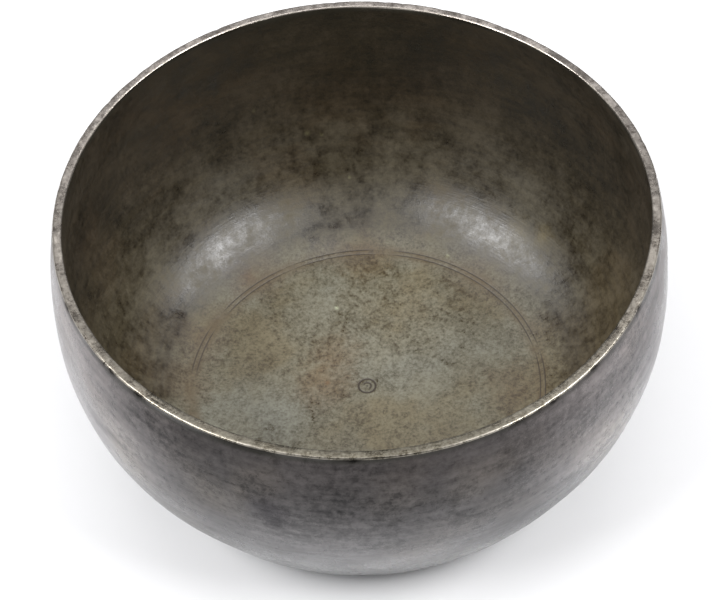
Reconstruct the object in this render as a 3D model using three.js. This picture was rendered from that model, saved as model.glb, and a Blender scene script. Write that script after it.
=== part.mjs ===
// A lather bowl raised by hand from one disc of bronze.
// Millimetres, +Z up. The origin is the centre of the flat foot, on the surface it stands on.
import * as THREE from 'three';

// Driving dimensions.
const RIM_RADIUS = 75;          // outer edge of the lip
const WALL = 2.3;               // thickness of the wall and the floor
const LIP_EDGE = 0.35;          // rounding of the lip's two edges

// The outside runs from the lip down to the foot as arcs that meet without a corner.
// Angles are the wall's lean: 0 is straight down, 90 is level and heading for the axis.
const RIM_LEAN = -12.7;         // the mouth is narrower than the belly
const SHOULDER = { radius: 114.6, leanTo: 0, steps: 6 };
const BELLY = { radius: 58.4, leanTo: 27.2, steps: 6 };
const SIDE = { radius: 350, leanTo: 29.2, steps: 2 };
const HEEL = { radius: 20, leanTo: 90, steps: 8 };
const OUTSIDE = [SHOULDER, BELLY, SIDE, HEEL];

// The metal is thicker low down, where the inside turns into the floor more gently than the outside.
const INSIDE_HEEL = { radius: 30, steps: 12 };

// Engraving on the inside floor: two fine lines round it and a small circle at its centre.
const LINE_WIDTH = 0.36;
const LINE_DEPTH = 0.18;
const RING_INSET = 0.25;        // from above the edge of the foot to the outer line
const RING_GAP = 1.3;           // between the two lines
const CENTRE_CIRCLE = 2.3;      // radius of the circle at the centre

const SIDES = 72;               // facets around the bowl
const LIP_STEPS = 2;            // facets across each rounded lip edge

const rad = THREE.MathUtils.degToRad;
const point = (r, z) => new THREE.Vector2(r, z);

// Each arc's centre, found by walking down the outside from the lip.
function arcCentres() {
  let r = RIM_RADIUS;
  let z = 0;
  let lean = rad(RIM_LEAN);
  const arcs = [];
  for (const { radius, leanTo, steps } of OUTSIDE) {
    const centre = point(r - radius * Math.cos(lean), z + radius * Math.sin(lean));
    const end = rad(leanTo);
    arcs.push({ centre, radius, from: lean, to: end, steps });
    r = centre.x + radius * Math.cos(end);
    z = centre.y - radius * Math.sin(end);
    lean = end;
  }
  arcs.forEach((arc) => { arc.centre.y -= z; });
  return { arcs, height: -z, footRadius: r };
}

const onArc = ({ centre, radius }, lean) =>
  point(centre.x + radius * Math.cos(lean), centre.y - radius * Math.sin(lean));

// The inside arcs: those of the outside set in by the wall, and a wider heel that meets the floor level.
function insideArcs(outside) {
  const walls = outside.slice(0, -1).map((arc) => ({ ...arc, radius: arc.radius - WALL }));
  const side = walls.at(-1);
  const height = WALL + INSIDE_HEEL.radius;
  const reach = side.radius - INSIDE_HEEL.radius;
  const rise = side.centre.y - height;
  const centre = point(side.centre.x + Math.sqrt(reach ** 2 - rise ** 2), height);
  side.to = Math.asin(rise / reach);
  return [...walls, { ...INSIDE_HEEL, centre, from: side.to, to: Math.PI / 2 }];
}

// One face of the wall, from the lip down.
function wallFace(arcs, top) {
  const points = [];
  arcs.forEach((arc, index) => {
    const from = index === 0 ? -Math.asin((top - arc.centre.y) / arc.radius) : arc.from;
    const first = index === 0 ? 0 : 1;
    for (let step = first; step <= arc.steps; step += 1) {
      points.push(onArc(arc, THREE.MathUtils.lerp(from, arc.to, step / arc.steps)));
    }
  });
  return points;
}

// The lip's flat top between two small rounded edges, from the outside to the inside.
function lip(outer, inner, top) {
  const points = [];
  const quarter = Math.PI / 2;
  for (let step = 1; step <= LIP_STEPS; step += 1) {
    const turn = quarter * (step / LIP_STEPS);
    points.push(point(outer.x - LIP_EDGE * (1 - Math.cos(turn)), top - LIP_EDGE * (1 - Math.sin(turn))));
  }
  for (let step = 0; step < LIP_STEPS; step += 1) {
    const turn = quarter * (1 - step / LIP_STEPS);
    points.push(point(inner.x + LIP_EDGE * (1 - Math.cos(turn)), top - LIP_EDGE * (1 - Math.sin(turn))));
  }
  return points;
}

// A V-shaped engraved line, crossed from the outside towards the axis, cut into a floor of this height.
const engraved = (radius, height) => [
  point(radius + LINE_WIDTH / 2, height),
  point(radius, height - LINE_DEPTH),
  point(radius - LINE_WIDTH / 2, height),
];

// The inside face with the two ring lines let into its heel, where the plain points near them give way.
function engravedInside(face, heel, footRadius) {
  const outer = footRadius - RING_INSET;
  const inner = outer - RING_GAP;
  const lines = [outer, inner].flatMap((radius) => {
    const lean = Math.acos((radius - heel.centre.x) / heel.radius);
    return engraved(radius, onArc(heel, lean).y);
  });
  const before = face.filter(({ x }) => x > outer + LINE_WIDTH);
  const after = face.filter(({ x }) => x < inner - LINE_WIDTH);
  return [...before, ...lines, ...after];
}

function bowl() {
  const { arcs, height, footRadius } = arcCentres();
  const inner = insideArcs(arcs);
  const edge = height - LIP_EDGE;
  const outside = wallFace(arcs, edge).reverse();
  const inside = wallFace(inner, edge);
  const outline = [
    point(0, 0),
    ...outside,
    ...lip(outside.at(-1), inside[0], height),
    ...engravedInside(inside, inner.at(-1), footRadius),
    ...engraved(CENTRE_CIRCLE, WALL),
    point(0, WALL),
  ];
  const geometry = new THREE.LatheGeometry(outline, SIDES);
  geometry.rotateX(Math.PI / 2);
  const bronze = new THREE.MeshStandardMaterial({ color: 0x5f5a50, roughness: 0.42, metalness: 0.85 });
  const mesh = new THREE.Mesh(geometry, bronze);
  mesh.name = 'bowl';
  return mesh;
}

const part = new THREE.Group();
part.add(bowl());

export default part;
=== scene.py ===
import math

import bpy
import numpy as np
from mathutils import Matrix, Vector, noise


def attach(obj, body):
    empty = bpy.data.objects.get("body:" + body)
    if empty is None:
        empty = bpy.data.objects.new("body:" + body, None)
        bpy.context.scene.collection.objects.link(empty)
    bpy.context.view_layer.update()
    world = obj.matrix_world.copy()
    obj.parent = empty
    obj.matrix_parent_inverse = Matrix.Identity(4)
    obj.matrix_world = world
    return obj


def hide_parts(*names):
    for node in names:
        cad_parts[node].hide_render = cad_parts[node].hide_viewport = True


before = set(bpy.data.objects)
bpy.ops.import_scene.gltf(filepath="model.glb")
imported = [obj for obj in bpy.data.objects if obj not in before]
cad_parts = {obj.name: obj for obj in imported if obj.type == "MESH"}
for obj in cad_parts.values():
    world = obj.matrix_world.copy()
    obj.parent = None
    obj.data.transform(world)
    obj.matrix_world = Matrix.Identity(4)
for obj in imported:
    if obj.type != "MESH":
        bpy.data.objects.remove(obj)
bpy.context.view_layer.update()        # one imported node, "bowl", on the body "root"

MM = 0.001

# ---------------------------------------------------------------- driving dimensions, in millimetres
# The same arcs as the CAD part, from the lip down. A lean of 0 degrees is straight down and 90 is level.
RIM_RADIUS = 75.0        # outer edge of the lip
WALL = 2.3               # thickness of the wall and the floor
LIP_EDGE = 0.35          # rounding of the lip's inner edge
WORN_EDGE = 0.5          # rounding of its outer edge, which is rubbed rounder
RIM_LEAN = -12.7         # the mouth is narrower than the belly
OUTSIDE_ARCS = [(114.6, 0.0), (58.4, 27.2), (350.0, 29.2), (20.0, 90.0)]     # radius, lean at its lower end
INSIDE_HEEL = 30.0       # the inside turns into the floor more gently than the outside turns into the foot

LINE_WIDTH = 0.6         # of each line of the engraved ring
MARK_WIDTH = 1.0         # of the lines of the centre mark
LINE_DEPTH = 0.05
RING_INSET = 0.25        # from above the edge of the foot to the outer line
RING_GAP = 1.3           # between the two lines
CENTRE_CIRCLE = 2.3      # radii of the centre mark's circle, its hook and its dot
CENTRE_HOOK = 1.05
CENTRE_DOT = 0.32
DOT_FLAT = 0.4           # how much of the dot's radius is its flat bottom
HOOK_GAP = (150, 300)    # where the hook leaves its circle open, in degrees from +X
HOOK_FADE = 10           # over how many degrees it fades at each end
HOOK_DEPTH = 0.85        # against the other lines
CLOSE_ROWS = 1.0         # how far off the ring's lines the mesh is fine

# Waves of the hammered rim: how many go round, and their size as cosine and sine.
RIM_OVAL = [(2, -0.26, -0.24), (3, 0.05, 0.20), (5, 0.04, 0.05)]             # in and out
RIM_SWAY = [(2, 0.13, -0.05), (3, 0.33, -0.17)]                              # up and down

# Uneven faces as noise: depth, length of its waves, and seed.
HAMMERED = [(0.16, 17.0, 1), (0.06, 8.0, 2)]
FILED = (0.05, 3.0, 3)
FACE_SHIFT = 40.0        # how far off the noise is read for the inside, so that the two faces differ
HAMMERED_FROM = (2.0, 12.0)      # heights where hammering starts and is in full, so that the foot is flat
FLOOR_HAMMERED = 0.35    # how much of it the inside has even at the floor

# Wear of the engraved ring and the lip.
RING_LEFT = 0.75         # how much of the ring is left where it has worn least
WORN_ARCS = [            # where it has worn more: from, to, and how much of it is gone
    (7, 13, 0.8),
    (77, 86, 0.8),
    (110, 119, 0.5),
    (142, 152, 0.85),
    (170, 340, 1.0),
]
WEAR_FADE = 3            # how many degrees either side of its ends that wear takes to start or stop
NICKS = 26               # small knocks along the lip's outer edge
NICK_WIDTH = (0.8, 2.4)
NICK_DEPTH = (0.08, 0.24)
NICK_REACH = 0.7         # in from the edge
NICK_SEED = 7

# ---------------------------------------------------------------- mesh density
WALL_STEP = 1.35         # between rows up the wall, across the floor and over the centre mark
FLOOR_STEP = 2.0
MARK_STEP = 0.1
MARK_RADIUS = 3.2        # of the finely meshed disc at the centre
EDGE_TURNS = 6           # facets across each rounded lip edge
LIP_ROWS = 4             # across the lip's flat top
LINE_ROWS = np.array([0.5, 0.33, 0.17, 0.0, -0.17, -0.33, -0.5])     # across an engraved line, in its widths
FACETS = 480             # round the wall, halved inside each of these radii
HALF_RADIUS = 26.0
QUARTER_RADIUS = 9.0


def arcs_in_place():
    """Each outside arc as centre r and z, radius and two leans, then the height and the foot's radius."""
    r, z, lean = RIM_RADIUS, 0.0, math.radians(RIM_LEAN)
    arcs = []
    for radius, lean_to in OUTSIDE_ARCS:
        end = math.radians(lean_to)
        centre_r = r - radius * math.cos(lean)
        centre_z = z + radius * math.sin(lean)
        arcs.append([centre_r, centre_z, radius, lean, end])
        r = centre_r + radius * math.cos(end)
        z = centre_z - radius * math.sin(end)
        lean = end
    for arc in arcs:
        arc[1] -= z
    return arcs, -z, r


def inside_of(arcs):
    """The same arcs set in by the wall, the last one swapped for the wide heel that meets the floor level."""
    inside = [[r, z, radius - WALL, start, end] for r, z, radius, start, end in arcs[:-1]]
    side_r, side_z, side_radius, _, _ = inside[-1]
    heel_z = WALL + INSIDE_HEEL
    reach = side_radius - INSIDE_HEEL
    heel_r = side_r + math.sqrt(reach ** 2 - (side_z - heel_z) ** 2)
    meet = math.asin((side_z - heel_z) / reach)
    inside[-1][4] = meet
    inside.append([heel_r, heel_z, INSIDE_HEEL, meet, math.radians(90)])
    return inside


OUTSIDE, HEIGHT, FOOT_RADIUS = arcs_in_place()
INSIDE = inside_of(OUTSIDE)
FLOOR_RADIUS = INSIDE[-1][0]
OUTER_RING = FOOT_RADIUS - RING_INSET
INNER_RING = OUTER_RING - RING_GAP
# Inside this radius the floor's own rows take over from the wall's, close together across the engraving.
ENGRAVED_FROM = OUTER_RING + CLOSE_ROWS
INSIDE[-1][4] = math.acos((ENGRAVED_FROM - FLOOR_RADIUS) / INSIDE_HEEL)


def floor_lean(r):
    """How far the inside face still is from level at this radius, as the sine of its slope."""
    return max(0.0, r - FLOOR_RADIUS) / INSIDE_HEEL


def floor_z(r):
    return WALL + INSIDE_HEEL * (1 - math.sqrt(1 - floor_lean(r) ** 2))


class Outline:
    """The rows of the mesh, from the centre of the foot, over the lip, to the centre of the inside floor."""

    def __init__(self):
        self.rows = []

    def add(self, r, z, normal_r, normal_z, zone):
        self.rows.append((r, z, normal_r, normal_z, zone))

    def foot(self):
        for r in np.arange(0.0, FOOT_RADIUS, 2 * FLOOR_STEP):
            self.add(r, 0.0, 0.0, -1.0, "foot")

    def wall(self, arcs, edge_z, inside):
        """One face of the wall, from the lip's edge down."""
        rows = []
        for index, (centre_r, centre_z, reach, start, end) in enumerate(arcs):
            if index == 0:
                start = -math.asin((edge_z - centre_z) / reach)
            count = max(3, round(reach * (end - start) / WALL_STEP))
            for lean in np.linspace(start, end, count + 1)[1 if index else 0:]:
                out_r, out_z = math.cos(lean), -math.sin(lean)
                sign = -1.0 if inside else 1.0
                r, z = centre_r + reach * out_r, centre_z + reach * out_z
                rows.append((r, z, sign * out_r, sign * out_z))
        return rows

    def lip_edge(self, centre_r, radius, outward):
        turns = np.linspace(0.0, 90.0, EDGE_TURNS + 1)[1:-1]
        for turn in turns if outward else reversed(turns):
            side = math.cos(math.radians(turn)) * (1.0 if outward else -1.0)
            up = math.sin(math.radians(turn))
            self.add(centre_r + radius * side, HEIGHT - radius * (1 - up), side, up, "edge")

    def build(self):
        self.foot()
        outside = self.wall(OUTSIDE, HEIGHT - WORN_EDGE, inside=False)
        inside = self.wall(INSIDE, HEIGHT - LIP_EDGE, inside=True)
        for row in reversed(outside):
            self.add(*row, "outside")
        outer_r, inner_r = outside[0][0], inside[0][0]
        self.lip_edge(outer_r - WORN_EDGE, WORN_EDGE, outward=True)
        for r in np.linspace(outer_r - WORN_EDGE, inner_r + LIP_EDGE, LIP_ROWS):
            self.add(r, HEIGHT, 0.0, 1.0, "lip")
        self.lip_edge(inner_r + LIP_EDGE, LIP_EDGE, outward=False)
        for row in inside:
            self.add(*row, "inside")
        for r in self.floor_radii():
            slope = floor_lean(r)
            self.add(r, floor_z(r), -slope, math.sqrt(1 - slope ** 2), "inside")
        return self.rows

    def floor_radii(self):
        """Close rows across each engraved line and over the centre mark, wide ones between."""
        across = LINE_ROWS * LINE_WIDTH
        fine = np.concatenate([OUTER_RING + across, INNER_RING + across])
        plain = np.arange(INNER_RING - CLOSE_ROWS, MARK_RADIUS, -FLOOR_STEP)
        mark = np.arange(MARK_RADIUS, -1e-6, -MARK_STEP)
        radii = np.concatenate([[0.5 * (OUTER_RING + INNER_RING)], fine, plain, mark])
        return sorted(set(np.round(radii, 4)), reverse=True)


def ring_facets(r):
    if r < 1e-6:
        return 1
    if r < QUARTER_RADIUS:
        return FACETS // 4
    return FACETS // 2 if r < HALF_RADIUS else FACETS


def smooth(edge_low, edge_high, x):
    t = np.clip((x - edge_low) / (edge_high - edge_low), 0.0, 1.0)
    return t * t * (3 - 2 * t)


def stretch(degrees, start, end, fade):
    """1 between two angles and 0 elsewhere, with soft ends."""
    return smooth(start - fade, start + fade, degrees) * (1 - smooth(end - fade, end + fade, degrees))


# ---------------------------------------------------------------- what the hammer, the file and wear did
def line_strength(angle):
    """How much of an engraved line is left round the floor, from 0 to 1."""
    degrees = np.degrees(angle) % 360.0
    left = np.full_like(degrees, RING_LEFT)
    for start, end, gone in WORN_ARCS:
        left = left * (1 - gone * stretch(degrees, start, end, WEAR_FADE))
    return left


def groove(distance, width):
    """A V cut with a rounded bottom: 1 in its middle, 0 at half the width."""
    x = np.clip(1 - np.abs(distance) / (width / 2), 0.0, 1.0)
    return x * x * (3 - 2 * x)


def engraving(r, angle):
    """How deep the floor is cut at each point, from 0 to 1."""
    lines = np.maximum(groove(r - OUTER_RING, LINE_WIDTH), groove(r - INNER_RING, LINE_WIDTH))
    cut = lines * line_strength(angle)
    circle = groove(r - CENTRE_CIRCLE, MARK_WIDTH)
    gap = stretch(np.degrees(angle) % 360.0, *HOOK_GAP, HOOK_FADE)
    hook = groove(r - CENTRE_HOOK, MARK_WIDTH) * (1 - gap)
    dot = 1 - smooth(CENTRE_DOT * DOT_FLAT, CENTRE_DOT, r)
    return np.maximum.reduce([cut, circle, hook * HOOK_DEPTH, dot])


def waves(angle, terms):
    return sum(c * np.cos(n * angle) + s * np.sin(n * angle) for n, c, s in terms)


def unevenness(points, depth, length, seed):
    """Smooth noise, about -depth to depth, whose waves are this many millimetres long."""
    shift = Vector((seed * 17.3, seed * 5.1, seed * 11.7))
    return depth * np.array([noise.noise(Vector(p) / length + shift) for p in points])


def shaped(rest, normal, r, angle, zone_lip, zone_inside, rng):
    """The rest points moved as hammering, filing, engraving and wear left them."""
    lift = np.clip(rest[:, 2] / HEIGHT, 0.0, 1.0)
    points = rest.copy()
    points[:, 0] += waves(angle, RIM_OVAL) * lift * np.cos(angle)
    points[:, 1] += waves(angle, RIM_OVAL) * lift * np.sin(angle)
    points[:, 2] += waves(angle, RIM_SWAY) * lift ** 3
    read_at = rest + FACE_SHIFT * zone_inside[:, None]
    hammered = sum(unevenness(read_at, *layer) for layer in HAMMERED)
    filed = unevenness(rest, *FILED)
    off_foot = np.clip(smooth(*HAMMERED_FROM, rest[:, 2]) + zone_inside * FLOOR_HAMMERED, 0, 1)
    offset = hammered * off_foot * (1 - zone_lip) + filed * zone_lip
    offset -= LINE_DEPTH * engraving(r, angle) * zone_inside * (r < ENGRAVED_FROM)
    offset -= lip_nicks(rest, angle, zone_lip, rng)
    return points + normal * offset[:, None]


def lip_nicks(rest, angle, zone_lip, rng):
    """Small knocks along the lip's outer edge."""
    depth = np.zeros(len(rest))
    near = np.flatnonzero(zone_lip)
    for _ in range(NICKS):
        place = rng.uniform(0, 2 * math.pi)
        width = rng.uniform(*NICK_WIDTH)
        size = rng.uniform(*NICK_DEPTH)
        turn = (angle[near] - place + math.pi) % (2 * math.pi) - math.pi
        along = np.abs(turn) * RIM_RADIUS
        radial = np.hypot(rest[near, 0], rest[near, 1]) - RIM_RADIUS
        reach = np.hypot(along / width, radial / NICK_REACH)
        depth[near] = np.maximum(depth[near], size * (1 - smooth(0.0, 1.0, reach)))
    return depth


# ---------------------------------------------------------------- the mesh
def points_of(rows):
    """The points round every row, their normals, each row's first point and count, and the zones."""
    rest, normals, starts = [], [], []
    zones = {"lip": [], "edge": [], "inside": [], "track": []}
    track = 0.0          # millimetres along the outline so far
    previous = rows[0][:2]
    for r, z, normal_r, normal_z, zone in rows:
        track += math.dist(previous, (r, z))
        previous = (r, z)
        count = ring_facets(r)
        starts.append((len(rest), count))
        for step in range(count):
            turn = 2 * math.pi * step / count
            c, s = math.cos(turn), math.sin(turn)
            rest.append((r * c, r * s, z))
            normals.append((normal_r * c, normal_r * s, normal_z))
        zones["lip"] += [float(zone in ("lip", "edge"))] * count
        zones["edge"] += [float(zone == "edge")] * count
        zones["inside"] += [float(zone == "inside")] * count
        zones["track"] += [track] * count
    zones = {name: np.array(values) for name, values in zones.items()}
    return np.array(rest), np.array(normals), starts, zones


def bowl_mesh():
    rest, normals, starts, zones = points_of(Outline().build())
    angle = np.arctan2(rest[:, 1], rest[:, 0])
    r = np.hypot(rest[:, 0], rest[:, 1])
    rng = np.random.default_rng(NICK_SEED)
    points = shaped(rest, normals, r, angle, zones["lip"], zones["inside"], rng)
    zones["engraved"] = engraving(r, angle) * zones["inside"] * (r < ENGRAVED_FROM)
    faces = []
    for (low, low_count), (high, high_count) in zip(starts, starts[1:]):
        faces += stitched(low, low_count, high, high_count)
    mesh = bpy.data.meshes.new("bowl_shell")
    mesh.from_pydata((points * MM).tolist(), [], faces)
    mesh.validate()
    for name, values in zones.items():
        attribute = mesh.attributes.new(name, "FLOAT", "POINT")
        attribute.data.foreach_set("value", values.astype(np.float32))
    mesh.shade_smooth()
    return mesh


def stitched(low, low_count, high, high_count):
    """The faces between two rows, the second of which has as many points, twice or half as many, or one."""
    faces = []
    if low_count == 1 or high_count == 1:
        many, count = (high, high_count) if low_count == 1 else (low, low_count)
        for i in range(count):
            a, b = many + i, many + (i + 1) % count
            faces.append((low, b, a) if low_count == 1 else (a, b, high))
        return faces
    if low_count == high_count:
        for i in range(low_count):
            j = (i + 1) % low_count
            faces.append((low + i, low + j, high + j, high + i))
        return faces
    coarse, fine, flip = (low, high, False) if low_count < high_count else (high, low, True)
    count = min(low_count, high_count)
    for i in range(count):
        j = (i + 1) % count
        a, b = coarse + i, coarse + j
        left, middle, right = fine + 2 * i, fine + 2 * i + 1, fine + (2 * i + 2) % (2 * count)
        for face in ((a, b, middle), (a, middle, left), (b, right, middle)):
            faces.append(tuple(reversed(face)) if flip else face)
    return faces


# ---------------------------------------------------------------- materials
class Tree:
    """Short calls for a material's nodes."""

    def __init__(self, name):
        self.material = bpy.data.materials.new(name)
        self.material.use_nodes = True
        self.nodes = self.material.node_tree.nodes
        self.links = self.material.node_tree.links
        self.shader = self.nodes["Principled BSDF"]

    def put(self, socket, value):
        if isinstance(value, bpy.types.NodeSocket):
            self.links.new(value, socket)
        elif value is not None:
            socket.default_value = value

    def attribute(self, name):
        node = self.nodes.new("ShaderNodeAttribute")
        node.attribute_name = name
        return node.outputs["Fac"]

    def math(self, operation, a, b=None, c=None, clamp=False):
        node = self.nodes.new("ShaderNodeMath")
        node.operation = operation
        node.use_clamp = clamp
        for socket, value in zip(node.inputs, (a, b, c)):
            self.put(socket, value)
        return node.outputs[0]

    def between(self, value, low, high, to_low=0.0, to_high=1.0):
        node = self.nodes.new("ShaderNodeMapRange")
        node.interpolation_type = "SMOOTHSTEP"
        for socket, number in zip(node.inputs, (value, low, high, to_low, to_high)):
            self.put(socket, number)
        return node.outputs[0]

    def noise(self, vector, scale, detail=3.0, roughness=0.55):
        node = self.nodes.new("ShaderNodeTexNoise")
        self.put(node.inputs["Vector"], vector)
        self.put(node.inputs["Scale"], scale)
        self.put(node.inputs["Detail"], detail)
        self.put(node.inputs["Roughness"], roughness)
        return node.outputs["Fac"]

    def tone(self, *parts):
        """One value round 0.5 from several noises, each with its weight."""
        total = 0.5
        for value, weight in parts:
            total = self.math("MULTIPLY_ADD", self.math("SUBTRACT", value, 0.5), weight, total)
        return self.math("MULTIPLY", total, 1.0, clamp=True)

    def mix(self, factor, a, b, blend="MIX"):
        node = self.nodes.new("ShaderNodeMix")
        node.data_type = "RGBA"
        node.blend_type = blend
        self.put(node.inputs["Factor"], factor)
        self.put(node.inputs["A"], a)
        self.put(node.inputs["B"], b)
        return node.outputs["Result"]

    def scaled(self, vector, x, y, z):
        node = self.nodes.new("ShaderNodeVectorMath")
        node.operation = "MULTIPLY"
        self.put(node.inputs[0], vector)
        node.inputs[1].default_value = (x, y, z)
        return node.outputs["Vector"]

    def distance(self, vector, point_mm):
        node = self.nodes.new("ShaderNodeVectorMath")
        node.operation = "DISTANCE"
        self.put(node.inputs[0], vector)
        node.inputs[1].default_value = [v * MM for v in point_mm]
        return node.outputs["Value"]

    def combine(self, x, y, z):
        node = self.nodes.new("ShaderNodeCombineXYZ")
        for socket, value in zip(node.inputs, (x, y, z)):
            self.put(socket, value)
        return node.outputs[0]

    def millimetres(self, vector):
        """The vector's three parts, in millimetres."""
        node = self.nodes.new("ShaderNodeSeparateXYZ")
        self.put(node.inputs[0], vector)
        return [self.math("MULTIPLY", part, 1.0 / MM) for part in node.outputs]

    def bump(self, height, distance, normal=None):
        node = self.nodes.new("ShaderNodeBump")
        self.put(node.inputs["Height"], height)
        self.put(node.inputs["Distance"], distance)
        self.put(node.inputs["Strength"], 1.0)
        self.put(node.inputs["Normal"], normal)
        return node.outputs["Normal"]


def colour(red, green, blue):
    """A colour given as it looks, 0 to 255, in the linear numbers that a shader takes."""
    parts = [v / 255.0 for v in (red, green, blue)]
    return tuple(v / 12.92 if v <= 0.04045 else ((v + 0.055) / 1.055) ** 2.4 for v in parts) + (1.0,)


# The noises that colour the metal: waves per metre, detail and roughness.
CLOUD = (24.0, 8.0, 0.66)
HUE = (31.0, 4.0, 0.55)
BLOTCH = (95.0, 6.0, 0.66)
GRIT = (520.0, 4.0, 0.7)
SPECK = (1500.0, 2.0, 0.6)
DRIFT = (20.0, 7.0, 0.6)
STREAK = (6.0, 0.5)      # brushing: how fast it changes round the bowl and along the wall
SCRATCH = (9.0, 2.2)

SHEEN_SHIFT = 3.0         # millimetres that the two sides of the painted sheen are moved towards -X
METALLIC_OUTSIDE = 0.95  # the inside is all patina
PATINA_IOR = 1.7
GRIT_RELIEF = 0.05 * MM
BLOTCH_RELIEF = 0.1 * MM
SCRATCH_RELIEF = 0.03 * MM

# Stains, worn patches, scratches and flecks: place and radius in millimetres, kind, strength.
STAINS = [
    ((-30, 41, 4), 9, "brown", 0.95),
    ((-44, 19, 3), 8, "brown", 0.7),
    ((-51, 5, 4), 10, "brown", 0.7),
    ((0, 47, 3), 10, "brown", 0.7),
    ((33, 35, 3), 9, "brown", 0.6),
    ((-12, 3, 2), 9, "rust", 0.8),
    ((-7, 12, 2), 8, "rust", 0.6),
    ((38, -3, 2), 9, "brown", 0.6),
    ((48, 15, 4), 6, "brown", 0.35),
    ((-37, 17, 2), 8, "pale", 0.6),
    ((-40, -2, 2), 11, "pale", 0.6),
    ((-24, -8, 2), 12, "pale", 0.35),
    ((24, -9, 2), 9, "pale", 0.7),
    ((28, -17, 2), 8, "pale", 0.6),
    ((8, -16, 2), 9, "pale", 0.6),
    ((50, 10, 4), 7, "pale", 0.45),
    ((-25, -74, 53), 6, "dark", 0.9),
    ((-37, -68, 52), 9, "worn", 0.9),
    ((-27, -72, 63), 8, "worn", 0.8),
    ((24, -74, 60), 9, "worn", 0.7),
    ((5, -77, 60), 8, "worn", 0.45),
    ((-60, -50, 50), 13, "worn", 0.5),
    ((60, -48, 45), 14, "worn", 0.3),
    ((23, 72, 52), 14, "dark", 0.6),
    ((51, 39, 14), 4, "scratch", 0.8),
    ((45, 44, 12), 5, "scratch", 0.4),
    ((-31, 40, 4), 3, "rust", 0.8),
    ((0, 53, 6), 12, "dark", 0.25),
    ((-10.6, 2, 2.3), 1.0, "rust", 1.0),
    ((-35, 30, 3), 7, "pale", 0.4),
    ((3, -12, 2), 5, "pale", 0.4),
    ((9, -3, 2), 5, "pale", 0.3),
    ((-12, 71, 28), 0.8, "fleck", 0.8),
    ((-8, 71, 27), 0.6, "fleck", 0.7),
    ((-1, 65, 15), 0.7, "fleck", 0.7),
    ((-26, 70, 39), 0.7, "fleck", 0.8),
    ((25, 43, 3.5), 0.7, "fleck", 0.8),
    ((-7, 28, 2.3), 0.8, "fleck", 0.8),
]
# What each kind multiplies the metal's colour by, red, green and blue.
STAIN_TINTS = {
    "brown": (0.78, 0.60, 0.42),
    "rust": (0.90, 0.66, 0.44),
    "pale": (1.16, 1.24, 1.40),
    "dark": (0.50, 0.48, 0.52),
    "worn": (1.55, 1.50, 1.38),
    "scratch": (2.1, 2.0, 1.5),
    "fleck": (2.6, 3.0, 3.0),
}


def bronze_material():
    tree = Tree("aged_bronze")
    place = tree.nodes.new("ShaderNodeTexCoord").outputs["Object"]
    inside = tree.attribute("inside")
    lip = tree.attribute("lip")
    cloud = tree.noise(place, *CLOUD)
    hue = tree.noise(tree.scaled(place, 1.0, 1.0, 1.4), *HUE)
    blotch = tree.noise(place, *BLOTCH)
    grit = tree.noise(place, *GRIT)
    speck = tree.noise(place, *SPECK)
    drift = tree.noise(tree.scaled(place, 1.0, 1.0, 2.4), *DRIFT)
    streak = brushing(tree, place, *STREAK)

    sideways, back, height = tree.millimetres(place)
    aside = tree.math("ABSOLUTE", tree.math("ADD", sideways, SHEEN_SHIFT))
    # Painted sheen: a mask for the outside's left and right, where it is made paler to stand in for
    # reflections
    side_sheen = painted_side_sheen(tree, aside, back, height)
    outer = outside_colour(tree, height, side_sheen, drift, hue, blotch, grit, streak)
    inner = inside_colour(tree, height, cloud, hue, blotch, grit, speck, streak)
    body = stained(tree, place, tree.mix(inside, outer, inner), blotch, grit)
    body = engraved_colour(tree, place, body, blotch)
    # Painted reflection: the lip is made lighter towards its far, +Y side, and a little towards the sides.
    pale = tree.math("MULTIPLY_ADD", aside, 0.15, back)
    body = tree.mix(lip, body, lip_colour(tree, pale, blotch, grit, speck))
    body = edge_colour(tree, body, height, lip, blotch, grit)

    tree.put(tree.shader.inputs["Base Color"], body)
    metallic = tree.math("MULTIPLY", tree.math("SUBTRACT", 1.0, inside), METALLIC_OUTSIDE)
    tree.put(tree.shader.inputs["Metallic"], metallic)
    tree.put(tree.shader.inputs["Roughness"], roughness(tree, inside, cloud, blotch, grit))
    tree.shader.inputs["IOR"].default_value = PATINA_IOR
    normal = tree.bump(grit, GRIT_RELIEF)
    normal = tree.bump(blotch, BLOTCH_RELIEF, normal)
    normal = tree.bump(brushing(tree, place, *SCRATCH), SCRATCH_RELIEF, normal)
    tree.put(tree.shader.inputs["Normal"], normal)
    return tree.material


def roughness(tree, inside, cloud, blotch, grit):
    """Satin outside, where hands polish it, and duller inside."""
    satin = tree.math("MULTIPLY_ADD", inside, 0.14, 0.30)
    for value, weight in ((cloud, 0.45), (blotch, 0.6), (grit, 0.5)):
        satin = tree.math("MULTIPLY_ADD", tree.math("SUBTRACT", value, 0.5), weight, satin)
    return satin


def brushing(tree, place, along, across):
    """Fine streaks that run round the bowl. Along and across say how fast they change each way."""
    flat = tree.scaled(place, 1.0, 1.0, 0.0)
    unit = tree.nodes.new("ShaderNodeVectorMath")
    unit.operation = "NORMALIZE"
    tree.put(unit.inputs[0], flat)
    parts = tree.nodes.new("ShaderNodeSeparateXYZ")
    tree.put(parts.inputs[0], unit.outputs["Vector"])
    x = tree.math("MULTIPLY", parts.outputs["X"], along)
    y = tree.math("MULTIPLY", parts.outputs["Y"], along)
    z = tree.math("MULTIPLY", tree.attribute("track"), across)
    return tree.noise(tree.combine(x, y, z), 1.0, 3.0, 0.6)


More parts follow.
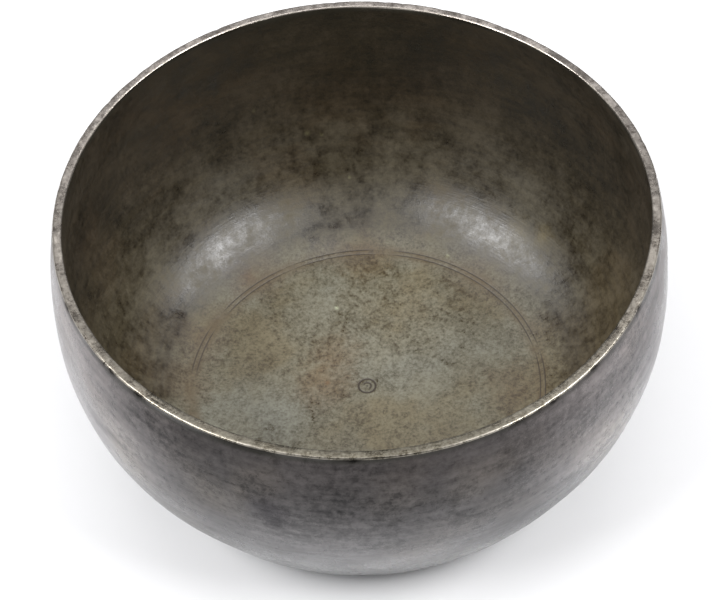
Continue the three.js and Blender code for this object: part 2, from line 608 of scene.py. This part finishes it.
def inside_colour(tree, height, cloud, hue, blotch, grit, speck, streak):
    """Brown-black under the lip, khaki and mottled on the floor."""
    tone = tree.tone((cloud, 1.5), (blotch, 1.5), (grit, 1.4), (speck, 0.7), (streak, -0.9))
    high = tree.mix(tone, colour(11, 7, 3), colour(56, 46, 30))
    low = tree.mix(tone, colour(36, 28, 13), colour(83, 75, 55))
    wall = tree.mix(tree.between(height, 44.0, 9.0), high, low)
    tone = tree.tone((cloud, 0.9), (blotch, 1.1), (grit, 1.7), (speck, 1.9))
    khaki = tree.mix(tone, colour(62, 52, 27), colour(108, 100, 75))
    bloom = tree.tone((cloud, -2.4), (blotch, 2.2), (grit, 1.6), (speck, 1.4))
    khaki = tree.mix(tree.math("MULTIPLY", bloom, 0.4), khaki, colour(139, 140, 128))
    body = tree.mix(tree.between(height, 6.5, 2.6), wall, khaki)
    browner = tree.mix(1.0, body, (0.94, 0.86, 0.72, 1.0), "MULTIPLY")
    paler = tree.mix(1.0, body, (1.05, 1.09, 1.18, 1.0), "MULTIPLY")
    body = tree.mix(tree.between(hue, 0.5, 0.62), body, browner)
    return tree.mix(tree.between(hue, 0.5, 0.38, 0.0, 0.8), body, paler)


def painted_side_sheen(tree, aside, back, height):
    """Painted sheen: the wall's left and right, a little to the front, made paler to stand in for reflections
    there.
    """
    sides = tree.math("MULTIPLY", tree.between(aside, 32.0, 84.0), tree.between(height, 2.0, 42.0))
    return tree.math("MULTIPLY", sides, tree.between(back, 40.0, -5.0))


def outside_colour(tree, height, side_sheen, drift, hue, blotch, grit, streak):
    """Cool grey: cloudy and dark under the lip, paler towards the foot as painted reflection of the floor,
    and paler at the sides as painted sheen.
    """
    tone = tree.tone((drift, 1.6), (blotch, 0.9), (grit, 1.4), (streak, 0.7))
    high = tree.mix(tone, colour(18, 16, 16), colour(80, 76, 75))
    low = tree.mix(tone, colour(74, 74, 75), colour(146, 145, 146))
    # Painted reflection: the wall made lighter from under the lip down towards the foot, standing in for the
    # floor it reflects.
    body = tree.mix(tree.between(height, 70.0, 8.0), high, low)
    # Painted sheen: the left and right sides lightened many times over, standing in for reflections.
    sheened = tree.mix(1.0, body, (4.2, 4.2, 4.25, 1.0), "MULTIPLY")
    body = tree.mix(side_sheen, body, sheened)
    warm = tree.mix(1.0, body, (1.12, 1.08, 1.02, 1.0), "MULTIPLY")
    return tree.mix(tree.between(hue, 0.5, 0.66, 0.0, 0.5), body, warm)


def lip_colour(tree, pale, blotch, grit, speck):
    """Mottled metal, made lighter towards the +Y side of the mouth as painted reflection and left dark on the
    other.
    """
    tone = tree.tone((blotch, 1.4), (grit, 1.6), (speck, 1.4))
    dark = tree.mix(tone, colour(68, 62, 50), colour(138, 133, 120))
    # The lighter colours, for the +Y side, are painted reflection.
    worn = tree.mix(tone, colour(178, 167, 158), colour(238, 229, 221))
    return tree.mix(tree.between(pale, -80.0, 80.0), dark, worn)


def stained(tree, place, body, blotch, grit):
    ragged = tree.math("MULTIPLY", tree.math("SUBTRACT", blotch, 0.5), 2.4)
    ragged = tree.math("MULTIPLY_ADD", tree.math("SUBTRACT", grit, 0.5), 0.9, ragged)
    for point, radius, kind, strength in STAINS:
        reach = tree.math("MULTIPLY_ADD", tree.distance(place, point), 1.0 / (radius * MM), ragged)
        mask = tree.between(reach, 1.3, 0.1, 0.0, strength)
        tinted = tree.mix(1.0, body, (*STAIN_TINTS[kind], 1.0), "MULTIPLY")
        body = tree.mix(mask, body, tinted)
    return body


def engraved_colour(tree, place, body, blotch):
    """Brown dirt in the engraved lines, with a faint brown halo beside the ring."""
    flat = tree.scaled(place, 1.0, 1.0, 0.0)
    radius = tree.math("MULTIPLY", tree.distance(flat, (0, 0, 0)), 1.0 / MM)
    off = tree.math("ABSOLUTE", tree.math("SUBTRACT", radius, 0.5 * (OUTER_RING + INNER_RING)))
    halo = tree.math("MULTIPLY", tree.between(off, 3.2, 0.3), tree.between(blotch, 0.36, 0.6, 0.1, 0.7))
    halo = tree.math("MULTIPLY", halo, tree.attribute("inside"))
    body = tree.mix(halo, body, colour(84, 66, 36))
    return tree.mix(tree.between(tree.attribute("engraved"), 0.0, 0.8), body, colour(44, 31, 12))


def edge_colour(tree, body, height, lip, blotch, grit):
    """The lip's rounded edges lightened in places, as worn metal and painted highlight, over a dark line of
    painted shade just under them.
    """
    patchy = tree.tone((blotch, 4.0), (grit, 4.0))
    # Worn metal and painted highlight along the lip's rounded edges.
    worn_edge_and_highlight = tree.math("MULTIPLY", tree.attribute("edge"), patchy)
    body = tree.mix(worn_edge_and_highlight, body, colour(160, 154, 144))
    # Painted shade: a dark line on the outside just under the lip's edge.
    under = tree.between(height, HEIGHT - 2.6, HEIGHT - 1.2, 0.0, 0.6)
    under = tree.math("MULTIPLY", under, tree.math("SUBTRACT", 1.0, lip))
    return tree.mix(under, body, colour(34, 34, 28))


def floor_material():
    tree = Tree("studio_white")
    tree.shader.inputs["Base Color"].default_value = FLOOR_COLOUR
    tree.shader.inputs["Roughness"].default_value = 0.9
    return tree.material


# ---------------------------------------------------------------- stage, lights and camera
# The camera's place is in rim radii, and its angles are in degrees.
RIM = RIM_RADIUS * MM
CAMERA_BACK = 5.076      # from the bowl's axis
CAMERA_UP = 5.575        # above the lip
CAMERA_TILT = 49.94      # down from level
CAMERA_TURN = 0.05
CAMERA_ROLL = -3.95
LENS_MM = 115.0
SENSOR_MM = 36.0

FLOOR_COLOUR = (0.82, 0.82, 0.83, 1.0)
FLOOR_RADIUS_M = 0.75
FLOOR_SIDES = 96
WALLS_COLOUR = (0.97, 0.98, 1.0, 1.0)
WALLS_LIGHT = 0.22       # what the walls give the bowl
BACKDROP_LIGHT = 1.0     # how bright they look past the floor

# Softboxes: name, degrees round from +Y towards +X, degrees up, distance and size in metres, radiance.
SOFTBOXES = [
    ("softbox_left", -107, 46, 0.9, (0.60, 0.34), 12.8),
    ("softbox_right", 111, 46, 0.9, (0.52, 0.34), 13.9),
    ("overhead", 0, 76, 1.2, (1.2, 0.8), 2.1),
]


def add_stage():
    mesh = bpy.data.meshes.new("studio_floor")
    turns = [2 * math.pi * step / FLOOR_SIDES for step in range(FLOOR_SIDES)]
    rim = [(FLOOR_RADIUS_M * math.cos(turn), FLOOR_RADIUS_M * math.sin(turn), 0.0) for turn in turns]
    mesh.from_pydata(rim, [], [tuple(range(FLOOR_SIDES))])
    floor = bpy.data.objects.new("studio_floor", mesh)
    floor.data.materials.append(floor_material())
    bpy.context.scene.collection.objects.link(floor)


def add_softbox(name, azimuth, elevation, distance, size, radiance):
    """A soft rectangle that faces the middle of the bowl."""
    light = bpy.data.lights.new(name, "AREA")
    light.shape = "RECTANGLE"
    light.size, light.size_y = size
    light.energy = math.pi * size[0] * size[1] * radiance
    lamp = bpy.data.objects.new(name, light)
    a, e = math.radians(azimuth), math.radians(elevation)
    away = Vector((math.sin(a) * math.cos(e), math.cos(a) * math.cos(e), math.sin(e)))
    lamp.location = Vector((0, 0, HEIGHT * MM * 0.5)) + away * distance
    lamp.rotation_euler = away.to_track_quat("Z", "Y").to_euler()
    bpy.context.scene.collection.objects.link(lamp)


def add_surroundings():
    """Dim walls light the bowl softly. The camera sees a pale backdrop past the floor."""
    world = bpy.data.worlds.new("studio")
    world.use_nodes = True
    nodes, links = world.node_tree.nodes, world.node_tree.links
    walls = nodes["Background"]
    walls.inputs["Color"].default_value = WALLS_COLOUR
    walls.inputs["Strength"].default_value = WALLS_LIGHT
    backdrop = nodes.new("ShaderNodeBackground")
    backdrop.inputs["Color"].default_value = WALLS_COLOUR
    backdrop.inputs["Strength"].default_value = BACKDROP_LIGHT
    choice = nodes.new("ShaderNodeMixShader")
    links.new(nodes.new("ShaderNodeLightPath").outputs["Is Camera Ray"], choice.inputs["Fac"])
    links.new(walls.outputs[0], choice.inputs[1])
    links.new(backdrop.outputs[0], choice.inputs[2])
    links.new(choice.outputs[0], nodes["World Output"].inputs["Surface"])
    bpy.context.scene.world = world


def add_camera():
    data = bpy.data.cameras.new("camera")
    data.sensor_width = SENSOR_MM
    data.lens = LENS_MM
    camera = bpy.data.objects.new("camera", data)
    turn = Matrix.Rotation(math.radians(CAMERA_TURN), 4, "Z")
    tilt = Matrix.Rotation(math.radians(90 - CAMERA_TILT), 4, "X")
    roll = Matrix.Rotation(math.radians(CAMERA_ROLL), 4, "Z")
    place = Matrix.Translation((0, -CAMERA_BACK * RIM, HEIGHT * MM + CAMERA_UP * RIM))
    camera.matrix_world = place @ turn @ tilt @ roll
    bpy.context.scene.collection.objects.link(camera)
    bpy.context.scene.camera = camera


def add_bowl():
    shell = bpy.data.objects.new("bowl_shell", bowl_mesh())
    shell.data.materials.append(bronze_material())
    bpy.context.scene.collection.objects.link(shell)
    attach(shell, "root")
    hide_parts("bowl")


add_camera()
add_bowl()
add_stage()
for softbox in SOFTBOXES:
    add_softbox(*softbox)
add_surroundings()
bpy.context.scene.view_settings.view_transform = "Standard"
